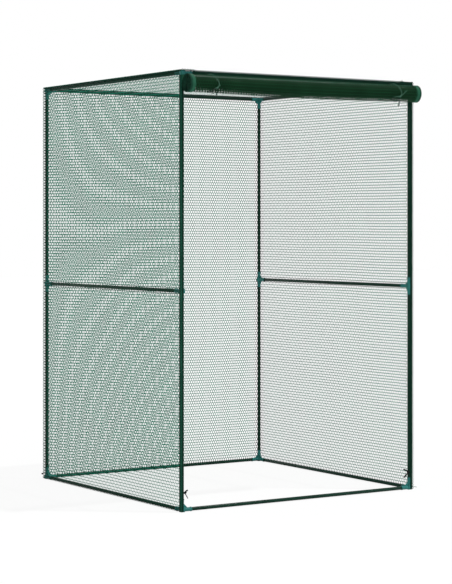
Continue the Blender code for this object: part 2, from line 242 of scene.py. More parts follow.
# Tails of each post tie, from its post's axis: into the doorway, back, up
POST_TIE_HEIGHT = 0.078
UPPER_TAILS = {
    "left": ((0.0235, -0.005, 0.0098), (0.0175, -0.0052, 0.0072), (0.012, -0.0052, 0.0038)),
    "right": ((0.033, -0.005, 0.0135), (0.0235, -0.0052, 0.0095), (0.0125, -0.0052, 0.004)),
}
LOWER_TAILS = {
    "left": ((0.0112, -0.0056, -0.0042), (0.0172, -0.0052, -0.0118), (0.0248, -0.005, -0.0238)),
    "right": ((0.0112, -0.0056, -0.0042), (0.022, -0.0052, -0.0125), (0.033, -0.005, -0.0225)),
}
POST_KNOT_PLACE = (0.0118, -0.0062, 0)
RING_START = math.radians(-22)
RING_TURN = math.radians(330)
RING_STEPS = 12

# Ends of the laces at the bottom corners, from the net's corner on the ground
RIGHT_LACE = ((-0.002, 0, 0.0115), (0.0045, -0.001, 0.012), (0.015, -0.003, 0.0105), (0.031, -0.002, 0.0072))
LEFT_LACE = ((0.002, -0.004, 0.026), (-0.004, -0.003, 0.0265), (-0.011, -0.005, 0.0245))

# Floor and light: how white the camera sees the floor, and what the white room gives the object
FLOOR_SIZE = 60
FLOOR_DROP = 0.0002
FLOOR_GLOW = 0.88
FLOOR_SHADE = 0.105
ROOM_LIGHT = 0.55
ROOM_SEEN = 1.0


def middle_of(node):
    low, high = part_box(node)
    return (low + high) / 2


# Places read from the frame
front_y = middle_of("post_front_right_lower").y
post_x, back_y = middle_of("post_back_right_lower").xy
middle_y = (front_y + back_y) / 2
tube_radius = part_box("post_back_right_lower")[1].x - post_x
low_z = HUB_HALF
high_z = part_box("top_rail_front")[0].z + tube_radius
mid_z = (low_z + high_z) / 2
joints = {joint["name"]: joint for joint in frame["joints"]}
door_drop = joints[DROP_JOINT]["range_m"][1]
roll_y, roll_z = joints["door_unroll"]["pos_m"][1:]
roll_low, roll_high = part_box("door_roll")
roll_radius = roll_high.y - roll_y
roll_length = roll_high.x - roll_low.x
roll_x = middle_of("door_roll").x
curtain_low, curtain_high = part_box("door_curtain")
curtain_y = middle_of("door_curtain").y
sleeve_low, sleeve_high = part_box("door_sleeve")
roof_low, roof_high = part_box("net_roof")
tie_x = post_x - TIE_FROM_POST
tie_stand_off = TIE_DIAMETER / 2 + TIE_CLEARANCE

# Colours and materials

# A wave texture of scale 1 repeats after this length
WAVE_TEXTURE_PERIOD = math.pi / 10

# Sockets of a mix node that mixes colours
MIX_FACTOR = 0
MIX_FIRST = 6
MIX_SECOND = 7
MIX_RESULT = 2


def linear(hex_colour):
    """An sRGB hex value as linear colour."""
    digits = hex_colour.lstrip("#")
    parts = [int(digits[at : at + 2], 16) / 255 for at in (0, 2, 4)]
    lit = [part / 12.92 if part <= 0.04045 else ((part + 0.055) / 1.055) ** 2.4 for part in parts]
    return (*lit, 1.0)


def add_node(tree, kind, links=None, **settings):
    """Adds a shader node, sets its properties and sockets, and links its inputs."""
    node = tree.nodes.new("ShaderNode" + kind)
    for name, value in settings.items():
        if hasattr(node, name):
            setattr(node, name, value)
        else:
            node.inputs[name.replace("_", " ")].default_value = value
    for name, source in (links or {}).items():
        tree.links.new(source, node.inputs[name])
    return node


def new_material(name, roughness, specular):
    """A material, its node tree and its Principled shader."""
    made = bpy.data.materials.new(name)
    made.use_nodes = True
    shader = made.node_tree.nodes["Principled BSDF"]
    shader.inputs["Roughness"].default_value = roughness
    shader.inputs["Specular IOR Level"].default_value = specular
    return made, made.node_tree, shader


def paint(tree, shader, colour):
    tree.links.new(colour, shader.inputs["Base Color"])


def scale_of(millimetres):
    """The scale at which a noise or cell texture repeats about every so many millimetres."""
    return 1000 / millimetres


def pattern(tree, kind, scale, **settings):
    """A procedural texture on the object's own coordinates."""
    place = add_node(tree, "TexCoord").outputs["Object"]
    return add_node(tree, kind, {"Vector": place}, Scale=scale, **settings)


def noise(tree, millimetres, detail):
    return pattern(tree, "TexNoise", scale_of(millimetres), Detail=detail).outputs["Fac"]


def cells(tree, millimetres):
    """Small cells, by the distance from the middle of each."""
    return pattern(tree, "TexVoronoi", scale_of(millimetres)).outputs["Distance"]


def two_colours(tree, factor, low, high, start=0.3, end=0.7):
    """Runs from one colour to the other while a pattern goes from start to end."""
    ramp = add_node(tree, "ValToRGB", {"Fac": factor})
    for stop, position, colour in zip(ramp.color_ramp.elements, (start, end), (low, high)):
        stop.position = position
        stop.color = linear(colour)
    return ramp.outputs["Color"]


def emboss(tree, shader, height, strength, depth, invert=False):
    """Raises a surface by a pattern."""
    settings = {"Strength": strength, "Distance": depth, "invert": invert}
    bump = add_node(tree, "Bump", {"Height": height}, **settings)
    tree.links.new(bump.outputs["Normal"], shader.inputs["Normal"])


def coated_steel():
    """Plastic-coated steel tube: a smooth dark skin, uneven in tone over a hand's width, with a soft gloss
    that the dipped coat's ripples, 1.4 mm apart, break up."""
    made, tree, shader = new_material("polyethylene_coated_steel", 0.3, 0.1)
    paint(tree, shader, two_colours(tree, noise(tree, 110, 3), "#07251a", "#0c3125"))
    emboss(tree, shader, noise(tree, 1.4, 2), 0.12, 0.0003)
    return made


def moulded_plastic():
    """Injection-moulded polypropylene: teal, with faint flow marks, and evenly matt from the spark-eroded
    mould. The mould's grain is about 0.1 mm, and is drawn at 0.45 mm so that it shows close by."""
    made, tree, shader = new_material("moulded_polypropylene", 0.45, 0.2)
    paint(tree, shader, two_colours(tree, noise(tree, 16.5, 3), "#1f6460", "#2a726d"))
    emboss(tree, shader, noise(tree, 0.45, 2), 0.2, 0.0001)
    return made


def knitted_net(name, low, high, dark):
    """Knitted polyethylene netting: each strand is a chain of loops 1.1 mm long, seen as a fine ripple, and
    the net's colour is painted darker, as shade, where it lies tight on a tube or inside the roll."""
    made, tree, shader = new_material(name, 0.55, 0.04)
    colour = two_colours(tree, noise(tree, 70, 4), low, high)
    covered = add_node(tree, "Attribute", attribute_name="covered").outputs["Fac"]
    # Painted shade: the strand colour runs to the dark colour where the attribute marks it
    shaded = add_node(tree, "Mix", {MIX_FACTOR: covered, MIX_FIRST: colour}, data_type="RGBA")
    shaded.inputs[MIX_SECOND].default_value = linear(dark)
    paint(tree, shader, shaded.outputs[MIX_RESULT])
    emboss(tree, shader, cells(tree, 1.1), 0.4, 0.0003)
    return made


def hem_tape(name, low, high, roughness):
    """Woven hem tape: matt, with close ribs. The real ribs are about 1 mm apart, and are drawn at 2.2 mm so
    that they show."""
    made, tree, shader = new_material(name, roughness, 0.05)
    paint(tree, shader, two_colours(tree, noise(tree, 29, 4), low, high))
    rib_scale = scale_of(2.2) * WAVE_TEXTURE_PERIOD
    ribs = pattern(tree, "TexWave", rib_scale, Distortion=0.6, bands_direction="Z")
    emboss(tree, shader, ribs.outputs["Fac"], 0.5, 0.0004)
    return made


def braided_cord(name, low, high):
    """Braided polyester cord: matt, its plaits of 1.25 mm seen as small pale lozenges between dark seams."""
    made, tree, shader = new_material(name, 0.8, 0.2)
    plaits = cells(tree, 1.25)
    paint(tree, shader, two_colours(tree, plaits, high, low, 0.1, 0.6))
    emboss(tree, shader, plaits, 0.5, 0.0003, invert=True)
    return made


# Modelling helpers


def activate(obj):
    for other in bpy.context.selected_objects:
        other.select_set(False)
    obj.select_set(True)
    bpy.context.view_layer.objects.active = obj


def new_object(name, data):
    obj = bpy.data.objects.new(name, data)
    bpy.context.collection.objects.link(obj)
    return obj


def begin_edit(obj, mode="VERT", action="DESELECT"):
    """Edits an object's points, edges or faces, with none or all of them selected."""
    activate(obj)
    bpy.ops.object.mode_set(mode="EDIT")
    bpy.ops.mesh.select_mode(type=mode)
    bpy.ops.mesh.select_all(action=action)


def end_edit():
    bpy.ops.object.mode_set(mode="OBJECT")


def pick(obj, faces=None, verts=None):
    """Selects faces or points in edit mode by a test of each."""
    shape = bmesh.from_edit_mesh(obj.data)
    for items, test in ((shape.faces, faces), (shape.verts, verts)):
        if test:
            for item in items:
                item.select_set(test(item))
    shape.select_flush_mode()
    bmesh.update_edit_mesh(obj.data)


def extrude(offset):
    bpy.ops.mesh.extrude_region_move(TRANSFORM_OT_translate={"value": offset})


def apply_modifiers(obj):
    activate(obj)
    for modifier in list(obj.modifiers):
        bpy.ops.object.modifier_apply(modifier=modifier.name)


def bevelled(obj, width, segments=2, degrees=30):
    """Rounds the edges that are sharper than an angle."""
    bevel = obj.modifiers.new("bevel", "BEVEL")
    bevel.width = width
    bevel.segments = segments
    bevel.limit_method = "ANGLE"
    bevel.angle_limit = math.radians(degrees)
    apply_modifiers(obj)


def thickened(obj, thickness, offset=0):
    """Makes a sheet thick, to both sides, or inwards with an offset of -1."""
    wall = obj.modifiers.new("wall", "SOLIDIFY")
    wall.thickness = thickness
    wall.offset = offset
    apply_modifiers(obj)
    return obj


def settle(obj):
    """Puts the object at the origin, unturned and unscaled, with its place in its mesh."""
    activate(obj)
    bpy.ops.object.transform_apply(location=True, rotation=True, scale=True)
    return obj


def shifted(obj, x, y, z):
    obj.data.transform(Matrix.Translation((x, y, z)))
    return obj


def named(obj, name):
    obj.name = name
    obj.data.name = name
    return obj


def joined(name, pieces):
    activate(pieces[0])
    for piece in pieces[1:]:
        piece.select_set(True)
    bpy.ops.object.join()
    return named(bpy.context.object, name)


def dress(obj, surfaces, slot, body, *nodes):
    """Gives a finished piece its materials and body, and hides the CAD nodes that it stands for. The slot is
    not used.
    """
    obj.data.materials.clear()
    for surface in surfaces:
        obj.data.materials.append(surface)
    if body:
        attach(obj, body)
    if nodes:
        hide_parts(*nodes)
    return obj


def dress_net(obj, surface, *nodes):
    """Dresses a piece of net or tape that stays with the frame."""
    dress(settle(obj), [surface], "net", FRAME_BODY, *nodes)


# Routes that flat pieces and cords follow


def smooth_route(points, step):
    """Points about a step apart on a smooth curve through the given points."""
    points = [Vector(point) for point in points]
    ends = [2 * points[0] - points[1], *points, 2 * points[-1] - points[-2]]
    route = []
    for a, b, c, d in zip(ends, ends[1:], ends[2:], ends[3:]):
        steps = max(1, round((c - b).length / step))
        for count in range(steps):
            t = count / steps
            slope = (c - a) * t + (2 * a - 5 * b + 4 * c - d) * t**2 + (3 * b - 3 * c + d - a) * t**3
            route.append(b + slope / 2)
    route.append(points[-1])
    return route


def stretch_at(reached, gone):
    """Which stretch of a measured line a length falls in, and how far along that stretch."""
    index = min(max(bisect.bisect_right(reached, gone) - 1, 0), len(reached) - 2)
    return index, (gone - reached[index]) / (reached[index + 1] - reached[index])


def laid_along(obj, points):
    """Bends a flat sheet: its Y follows a route in YZ, and its Z stands off to the left of the route."""
    spots = [Vector(point) for point in points]
    steps = [b - a for a, b in zip(spots, spots[1:])]
    reached = [0.0]
    for step in steps:
        reached.append(reached[-1] + step.length)
    headings = [step.normalized() for step in steps]
    turns = [headings[0], *[(a + b).normalized() for a, b in zip(headings, headings[1:])], headings[-1]]
    for vert in obj.data.vertices:
        x, gone, off = vert.co
        index, share = stretch_at(reached, gone)
        heading = turns[index].lerp(turns[index + 1], share).normalized()
        place = spots[index] + steps[index] * share
        vert.co = (x, place.x - heading.y * off, place.y + heading.x * off)
    return obj


def smoothstep(value):
    value = min(max(value, 0), 1)
    return value * value * (3 - 2 * value)


# Frame


def turn_onto(axis):
    """The rotation that turns +Z onto an axis."""
    return Vector((0, 0, 1)).rotation_difference(Vector(axis)).to_euler()


def tube_piece(node, surface):
    """A coated tube with a thin wall, its cut ends rolled slightly in."""
    low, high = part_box(node)
    size = high - low
    long = max(range(3), key=lambda index: size[index])
    axis = [float(index == long) for index in range(3)]
    in_sleeve = node == "top_rail_front"
    bpy.ops.mesh.primitive_cylinder_add(
        vertices=TUBE_SIDES,
        radius=tube_radius + (0 if in_sleeve else TUBE_COATING),
        depth=size[long],
        end_fill_type="NOTHING",
        location=(low + high) / 2,
        rotation=turn_onto(axis),
    )
    tube = named(bpy.context.object, f"tube_{node}")
    thickened(tube, TUBE_WALL, -1)
    bevelled(tube, TUBE_WALL / 4, degrees=60)
    settle(tube)
    bpy.ops.object.shade_smooth_by_angle(angle=math.radians(40))
    dress(tube, [surface], "tube", FRAME_BODY, node)


def arm_piece(axis, reach):
    """One arm of a connector: barrel, collar with rounded rims, and the peg that fits the tube's bore."""
    barrel = tube_radius + ARM_STEP
    collar = barrel + COLLAR_STEP
    peg = tube_radius - TUBE_WALL - GAP
    plain = reach - COLLAR_LENGTH
    bpy.ops.mesh.primitive_cylinder_add(
        vertices=TUBE_SIDES, radius=barrel, depth=plain, location=(0, 0, plain / 2)
    )
    arm = bpy.context.object
    begin_edit(arm, "FACE")
    pick(arm, faces=lambda face: face.normal.z > 0.9)
    for widening, length in ((collar / barrel, COLLAR_LENGTH), (peg / collar, PEG_LENGTH)):
        extrude((0, 0, 0))
        bpy.ops.transform.resize(value=(widening, widening, 1))
        extrude((0, 0, length))
    end_edit()
    bevelled(arm, ARM_ROUNDING, degrees=50)
    settle(arm)
    arm.rotation_euler = turn_onto(axis)
    return settle(arm)


def gusset_piece(first, second):
    """The flat web between two arms, with its slanted free edge."""
    barrel = tube_radius + ARM_STEP
    first, second = Vector(first), Vector(second)
    across = first.cross(second) * GUSSET_THICKNESS
    outline = ((0, 0), (GUSSET_REACH, 0), (GUSSET_REACH, barrel), (barrel, GUSSET_REACH), (0, GUSSET_REACH))
    mesh = bpy.data.meshes.new("gusset")
    points = [first * x + second * y - across / 2 for x, y in outline]
    mesh.from_pydata(points, [], [tuple(range(len(points)))])
    gusset = new_object("gusset", mesh)
    begin_edit(gusset, "FACE", "SELECT")
    extrude(across)
    bpy.ops.mesh.select_all(action="SELECT")
    bpy.ops.mesh.normals_make_consistent(inside=False)
    end_edit()
    bevelled(gusset, GUSSET_ROUNDING)
    return gusset


def connector(name, arms, webs):
    """A hub joined to its arms and webs, as one moulding."""
    bpy.ops.mesh.primitive_cube_add(size=2 * HUB_HALF)
    hub = bpy.context.object
    hub.name = name
    bevelled(hub, HUB_ROUNDING, 3)
    helpers = [arm_piece(axis, reach) for axis, reach in arms]
    helpers += [gusset_piece(first, second) for first, second in webs]
    for helper in helpers:
        join = hub.modifiers.new("join", "BOOLEAN")
        join.operation = "UNION"
        join.object = helper
    apply_modifiers(hub)
    for helper in helpers:
        bpy.data.objects.remove(helper)
    activate(hub)
    bpy.ops.object.shade_smooth_by_angle(angle=math.radians(32))
    return hub


def build_tubes(steel):
    for level in ("bottom", "top"):
        for side in ("front", "back", "left", "right"):
            tube_piece(f"{level}_rail_{side}", steel)
    for side in ("left", "right"):
        tube_piece(f"mid_rail_{side}", steel)
    for end in ("front", "back"):
        for side in ("left", "right"):
            for part in ("lower", "upper"):
                tube_piece(f"post_{end}_{side}_{part}", steel)


def placed_copy(pattern, node, place, turns, flipped, plastic):
    """A copy of a connector, turned by quarter turns and put in its place."""
    copy = named(new_object(node, pattern.data.copy()), f"moulded_{node}")
    spin = Matrix.Rotation(turns * math.pi / 2, 4, "Z") @ Matrix.Rotation(flipped, 4, "X")
    copy.matrix_world = Matrix.Translation(place) @ spin
    dress(settle(copy), [plastic], "connector", FRAME_BODY, node)


def build_connectors(plastic):
    """Eight corners, the top ones upside down, and four tees."""
    along, back, up, down = (1, 0, 0), (0, 1, 0), (0, 0, 1), (0, 0, -1)
    corner_arms = [(axis, CORNER_REACH) for axis in (along, back, up)]
    corner = connector("corner_pattern", corner_arms, [(along, back), (back, up), (up, along)])
    tee_arms = [(up, TEE_RUN_REACH), (down, TEE_RUN_REACH), (back, TEE_ARM_REACH)]
    tee = connector("tee_pattern", tee_arms, [(back, up), (down, back)])
    places = {"left": -post_x, "right": post_x, "front": front_y, "back": back_y}
    corners = (("front", "left"), ("front", "right"), ("back", "right"), ("back", "left"))
    top_corners = (corners[3], *corners[:3])
    levels = (("bottom", low_z, 0, corners), ("top", high_z, math.pi, top_corners))
    for level, z, flipped, turned in levels:
        for turns, (end, side) in enumerate(turned):
            place = (places[side], places[end], z)
            placed_copy(corner, f"corner_{end}_{side}_{level}", place, turns, flipped, plastic)
    for end, turns in (("front", 0), ("back", 2)):
        for side in ("left", "right"):
            placed_copy(tee, f"tee_{end}_{side}", (places[side], places[end], mid_z), turns, 0, plastic)
    for part in (corner, tee):
        bpy.data.objects.remove(part)


# Nets


def mesh_cell(pitch, row):
    """One six-sided mesh of the net: a ring of low ridged strands round its hole."""
    bpy.ops.mesh.primitive_circle_add(vertices=6, radius=1, fill_type="NGON")
    cell = bpy.context.object
    begin_edit(cell)
    shape = bmesh.from_edit_mesh(cell.data)
    shoulder = (row - MESH_WAVE) / 2
    for vert in shape.verts:
        up = math.copysign(1, vert.co.y)
        if abs(vert.co.x) < 0.1:
            vert.co = (0, up * (shoulder + MESH_WAVE), 0)
        else:
            vert.co = (math.copysign(pitch / 2, vert.co.x), up * shoulder, 0)
    bmesh.update_edit_mesh(cell.data)
    bpy.ops.mesh.select_mode(type="FACE")
    bpy.ops.mesh.select_all(action="SELECT")
    bpy.ops.mesh.inset(thickness=SIDE_STRAND / 2, depth=-STRAND_RELIEF)
    bpy.ops.transform.resize(value=(1, (row - ROW_STRAND) / (row - SIDE_STRAND), 1))
    bpy.ops.mesh.delete(type="ONLY_FACE")
    end_edit()
    return cell


def repeated(obj, count, offset):
    """Repeats a shape, with its copies joined where they meet."""
    row = obj.modifiers.new("repeat", "ARRAY")
    row.count = count
    row.use_relative_offset = False
    row.use_constant_offset = True
    row.constant_offset_displace = offset
    row.use_merge_vertices = True
    row.merge_threshold = JOIN_REACH
    apply_modifiers(obj)


def trimmed(obj, co, no):
    """Cuts off what lies past a plane."""
    begin_edit(obj, action="SELECT")
    bpy.ops.mesh.bisect(plane_co=co, plane_no=no, clear_outer=True)
    end_edit()


def net_panel(name, width, length):
    """Flat netting in XY, centred, with rows of meshes across X, each row half a mesh along from the next."""
    columns = round(width / MESH_PITCH)
    pairs = round(length / (2 * MESH_ROW))
    pitch = width / columns
    row = length / (2 * pairs)
    panel = named(mesh_cell(pitch, row), name)
    begin_edit(panel, action="SELECT")
    bpy.ops.mesh.duplicate()
    bpy.ops.transform.translate(value=(pitch / 2, row, 0))
    bpy.ops.mesh.select_all(action="SELECT")
    bpy.ops.mesh.remove_doubles(threshold=JOIN_REACH)
    end_edit()
    repeated(panel, columns + 1, (pitch, 0, 0))
    repeated(panel, pairs + 1, (0, 2 * row, 0))
    begin_edit(panel, action="SELECT")
    bpy.ops.mesh.remove_doubles(threshold=JOIN_REACH)
    bpy.ops.transform.translate(value=(-width / 2, -length / 2 - row / 2, 0))
    end_edit()
    for side in (-1, 1):
        trimmed(panel, (side * width / 2, 0, 0), (side, 0, 0))
        trimmed(panel, (0, side * length / 2, 0), (0, side, 0))
    return panel


def hemmed_panel(name, width, length):
    """A net panel with a folded second layer of the same net along its two long ends."""
    panel = net_panel(name, width, length)
    hems = []
    for side in (-1, 1):
        hem = net_panel("hem", width, HEM_ROWS * MESH_ROW)
        hem.location = (0, side * (length - HEM_ROWS * MESH_ROW) / 2, 2 * STRAND_RELIEF)
        hems.append(settle(hem))
    return joined(name, [panel, *hems])


def wave(u, v, across, along, phase):
    return math.sin(2 * math.pi * (across * u + along * v) + phase)


def rippled(panel, width, length, sag):
    """Lets a net stand a little off its plane between its edges, and draws its rows a little aside."""
    for vert in panel.data.vertices:
        u = vert.co.x / width + 0.5
        v = vert.co.y / length + 0.5
        free = math.sin(math.pi * u) * math.sin(math.pi * v)
        waves = sum(wave(u, v, *shape) for shape in NET_WAVES)
        vert.co.z += free * (NET_RIPPLE * waves / 2 - sag)
        vert.co.y += free * NET_RIPPLE * wave(u, v, *ROW_DRIFT) / 2


def painted_shade_over_tubes(panel, bands):
    """Paints shade into a net's colour where it is drawn tight over a tube, by bands across one axis each."""
    covered = panel.data.attributes.new("covered", "FLOAT", "POINT")
    for vert, item in zip(panel.data.vertices, covered.data):
        apart = min(abs(vert.co[axis] - middle) - half for axis, middle, half in bands)
        item.value = 1 - smoothstep(apart / OVER_TUBE_EDGE)


def laid_on_sleeve(obj):
    """Lets the roof net's front edge, or what is sewn on it, down onto the rail between the mouldings."""
    for vert in obj.data.vertices:
        between = smoothstep((sleeve_high.x - abs(vert.co.x)) / ROOF_DIP_RISE)
        behind = smoothstep((vert.co.y - front_y) / ROOF_DIP_DEPTH)
        vert.co.z -= ROOF_DIP * between * (1 - behind)


def build_nets(netting):
    """The walls and the roof, sewn along the frame and held at their edges."""
    upright = math.pi / 2
    rails = [(2, z, tube_radius + RAIL_BAND_PAST_TUBE) for z in (low_z, mid_z, high_z)]
    back_post = (1, back_y - tube_radius, SELVEDGE_HALF)
    posts = [(0, x, SELVEDGE_HALF) for x in (-post_x, post_x)]
    ends = [(1, y, SELVEDGE_HALF) for y in (front_y, back_y)]
    for node, turn, bands, sag in (
        ("net_left", (upright, 0, -upright), [back_post, *rails], 0),
        ("net_right", (upright, 0, upright), [back_post, *rails], 0),
        ("net_back", (upright, 0, math.pi), [*posts, rails[0], rails[2]], 0),
        ("net_roof", (0, 0, 0), [*posts, *ends], ROOF_SAG),
    ):
        low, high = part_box(node)
        if node in ("net_left", "net_right"):
            low.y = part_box("binding_left")[0].y + BINDING_SIDE
        size = high - low
        width = size.x if node in ("net_back", "net_roof") else size.y
        length = size.y if node == "net_roof" else size.z
        panel = hemmed_panel(f"netting_{node}", width, length)
        rippled(panel, width, length, sag)
        panel.rotation_euler = turn
        panel.location = (low + high) / 2
        settle(panel)
        # Painted shade where the net lies tight on the rails and posts
        painted_shade_over_tubes(panel, bands)
        if node == "net_roof":
            laid_on_sleeve(panel)
        dress_net(panel, netting, node)


def edge_loops(name, start, end, outward, strand=LOOP_STRAND, reach=LOOP_REACH, pitch=MESH_ROW):
    """The looped edge of a net: one bent strand to each mesh, standing off between two points."""
    start, end, outward = Vector(start), Vector(end), Vector(outward).normalized()
    along = end - start
    count = round(along.length / pitch)
    pitch = along.length / count
    side = pitch * (1 - LOOP_TOP_SHARE) / 2
    bpy.ops.mesh.primitive_plane_add(size=strand, rotation=(0, math.pi / 2, 0))
    loops = bpy.context.object
    loops.name = name
    settle(loops)
    begin_edit(loops, "FACE", "SELECT")
    for offset in ((side, 0, reach), (pitch * LOOP_TOP_SHARE, 0, 0), (side, 0, -reach)):
        extrude(offset)
    bpy.ops.mesh.select_all(action="DESELECT")
    pick(loops, faces=lambda face: abs(face.normal.x) > 0.99)
    bpy.ops.mesh.delete(type="ONLY_FACE")
    end_edit()
    repeated(loops, count, (pitch, 0, 0))
    begin_edit(loops, action="SELECT")
    bpy.ops.mesh.fill_holes(sides=4)
    bpy.ops.mesh.normals_make_consistent(inside=False)
    end_edit()
    along.normalize()
    turn = Matrix((along, outward.cross(along), outward)).transposed().to_4x4()
    loops.matrix_world = Matrix.Translation(start) @ turn
    return settle(loops)


def build_net_edges(loop_net):
    """The nets' looped edges round the roof and down the back corners."""
    left, front = roof_low.x, roof_low.y
    right, back, top = roof_high
    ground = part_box("net_left")[0].z
    for name, start, end, outward in (
        ("edge_top_front", (left, front, top), (sleeve_high.x, front, top), (0, -0.35, 1)),
        ("edge_top_back", (left, back, top), (right, back, top), (0, 1, 0.2)),
        ("edge_top_left", (left, front, top), (left, back, top), (-1, 0, 0.2)),
        ("edge_top_right", (right, front, top), (right, back, top), (1, 0, 0.2)),
        ("edge_back_left", (left, back, ground), (left, back, top), (-1, 1, 0)),
        ("edge_back_right", (right, back, ground), (right, back, top), (1, 1, 0)),
    ):
        loops = edge_loops(f"knitted_{name}", start, end, outward)
        if name == "edge_top_front":
            laid_on_sleeve(loops)
        dress_net(loops, loop_net)


# Tapes


def tape(name, width, length, corded=0):
    """Ribbed tape, flat in XY: X across it, Y along it from zero, with a thicker corded edge at one side."""
    rows = round(length / MESH_ROW)
    row = length / rows
    bpy.ops.mesh.primitive_grid_add(x_subdivisions=5, y_subdivisions=4, size=1, location=(0, row / 2, 0))
    strip = named(bpy.context.object, name)
    strip.scale = (width, row, 1)
    settle(strip)
    begin_edit(strip)
    pick(strip, verts=lambda vert: 0.2 * row < vert.co.y < 0.8 * row and abs(vert.co.x) < 0.4 * width)
    bpy.ops.transform.translate(value=(0, 0, TAPE_RIB))
    if corded:
        bpy.ops.mesh.select_all(action="DESELECT")
        pick(strip, verts=lambda vert: 0.2 * width < corded * vert.co.x)
        bpy.ops.transform.translate(value=(0, 0, TAPE_CORD))
    end_edit()
    repeated(strip, rows, (0, row, 0))
    return strip


def folded_tape(name, length, legs, corner):
    """Tape along X, folded over a corner in YZ: its first leg comes up the front, its second goes back."""
    strip = tape(name, sum(legs), length)
    strip.data.transform(Matrix.Rotation(-math.pi / 2, 4, "Z"))
    shifted(strip, -length / 2, sum(legs) / 2, 0)
    y, z = corner
    fold = [(y, z - FOLD), (y + FOLD / 3, z - FOLD / 3), (y + FOLD, z)]
    route = [(y, z - legs[0]), *fold, (y + legs[1], z)]
    return thickened(laid_along(strip, route), TAPE_THICKNESS)


def build_bindings(tape_cloth, loop_net):
    """Tape folded round each front post, with the side net's loops at its fold."""
    top = high_z - HUB_HALF
    for side, name in ((-1, "binding_left"), (1, "binding_right")):
        low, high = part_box(name)
        outside = max(abs(low.x), abs(high.x))
        legs = high.x - low.x, BINDING_SIDE
        strip = folded_tape(f"tape_{name}", top - low.z, legs, (low.y, outside))
        strip.data.transform(Matrix.Rotation(side * math.pi / 2, 4, "Y"))
        dress_net(shifted(strip, 0, 0, (low.z + top) / 2), tape_cloth, name)
        fold = (side * outside, low.y, low.z), (side * outside, low.y, high.z)
        dress_net(edge_loops(f"knitted_edge_{name}", *fold, (side, -1, 0)), loop_net)


def build_top_tape(tape_cloth):
    """Tape over the front rail, and the loops that show below it in front of the sleeve."""
    left, right = sleeve_low.x, roof_high.x
    corner = roof_low.y, roof_high.z
    strip = folded_tape("tape_front_top", right - left, (TOP_TAPE_FRONT, TOP_TAPE_BACK), corner)
    laid_on_sleeve(shifted(strip, (left + right) / 2, 0, 0))
    dress_net(strip, tape_cloth)
    y = curtain_high.y + BAND_STRAND / 2 + GAP
    z = roof_high.z - ROOF_DIP - TOP_TAPE_FRONT + BAND_LOOP_RISE
    ends = (left, y, z), (-left, y, z)
    loops = edge_loops("knitted_edge_band", *ends, (0, 0, -1), BAND_STRAND, BAND_LOOP_REACH, MESH_PITCH)
    dress_net(loops, tape_cloth)


def build_seams(tape_cloth):
    """Narrow tape folded over the roof's edges, at the front only up to the sleeve."""
    legs = SEAM_DOWN / 2, SEAM_IN
    strip = folded_tape("seam_top_front", sleeve_low.x - roof_low.x, legs, (roof_low.y, roof_high.z))
    dress_net(shifted(strip, (sleeve_low.x + roof_low.x) / 2, 0, 0), tape_cloth)
    middle = middle_of("net_roof")
    half = roof_high - middle
    for name, reach, out, turn in (
        ("seam_top_left", half.y, half.x, -math.pi / 2),
        ("seam_top_right", half.y, half.x, math.pi / 2),
        ("seam_top_back", half.x, half.y, math.pi),
    ):
        strip = folded_tape(name, 2 * reach, (SEAM_DOWN, SEAM_IN), (-out, roof_high.z))
        strip.data.transform(Matrix.Rotation(turn, 4, "Z"))
        dress_net(shifted(strip, middle.x, middle.y, 0), tape_cloth)


# Door net


def build_sleeve(netting):
    """The door net's top, folded over the front rail in two layers."""
    width = sleeve_high.x - sleeve_low.x
    radius = tube_radius + GAP
    route = [(curtain_y, curtain_high.z)]
    for degrees in SLEEVE_DEGREES:
        angle = math.radians(degrees)
        route.append((front_y - radius * math.cos(angle), high_z + radius * math.sin(angle)))
    length = sum((Vector(b) - Vector(a)).length for a, b in zip(route, route[1:]))
    layers = []
    for aside, off in ((0, 0), (MESH_PITCH / 2, 2 * STRAND_RELIEF)):
        layer = net_panel("layer", width, length)
        layers.append(laid_along(shifted(layer, aside, length / 2, off), route))
    sleeve = joined("sleeve_netting", layers)
    dress_net(sleeve, netting, "door_sleeve")


def side_tapes(name, width, length):
    """The flat hem tapes of a door net's two sides, with their corded edges outside."""
    hems = []
    for side, end in ((-1, "left"), (1, "right")):
        hem = tape(f"{name}_{end}", TAPE_WIDTH, length, corded=side)
        place = roll_x + side * (width - TAPE_WIDTH) / 2
        hems.append(shifted(hem, place, 0, 2 * STRAND_RELIEF))
    return hems


def gathered(obj, length):
    """Hangs a flat piece behind the roll, with its top open and the rest drawn up so that it falls evenly."""
    start = curtain_high.z - OPEN_TOP
    shares = [step / GATHER_STEPS for step in range(GATHER_STEPS + 1)]
    reached = [OPEN_TOP + GATHER_DEPTH * share + door_drop * smoothstep(share) for share in shares]
    for vert in obj.data.vertices:
        x, y, off = vert.co
        down = length - y
        index, part = stretch_at(reached, down)
        drawn_up = start - GATHER_DEPTH * min((index + part) / GATHER_STEPS, 1)
        vert.co = (x, curtain_y - off, curtain_high.z - down if down < OPEN_TOP else drawn_up)


def build_curtain(netting, tape_cloth):
    """The strip between sleeve and roll, which stretches as the roll goes down."""
    width = curtain_high.x - curtain_low.x
    height = curtain_high.z - curtain_low.z
    length = height + door_drop
    panel = shifted(net_panel("curtain_netting", width, length), roll_x, length / 2, 0)
    hems = side_tapes("curtain_hem", width, length)
    for piece, cloth in ((panel, netting), *[(hem, tape_cloth) for hem in hems]):
        gathered(piece, length)
        if piece in hems:
            thickened(piece, TAPE_THICKNESS)
        dress(settle(piece), [cloth], "net", None)
        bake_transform(piece)
    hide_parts("door_curtain")


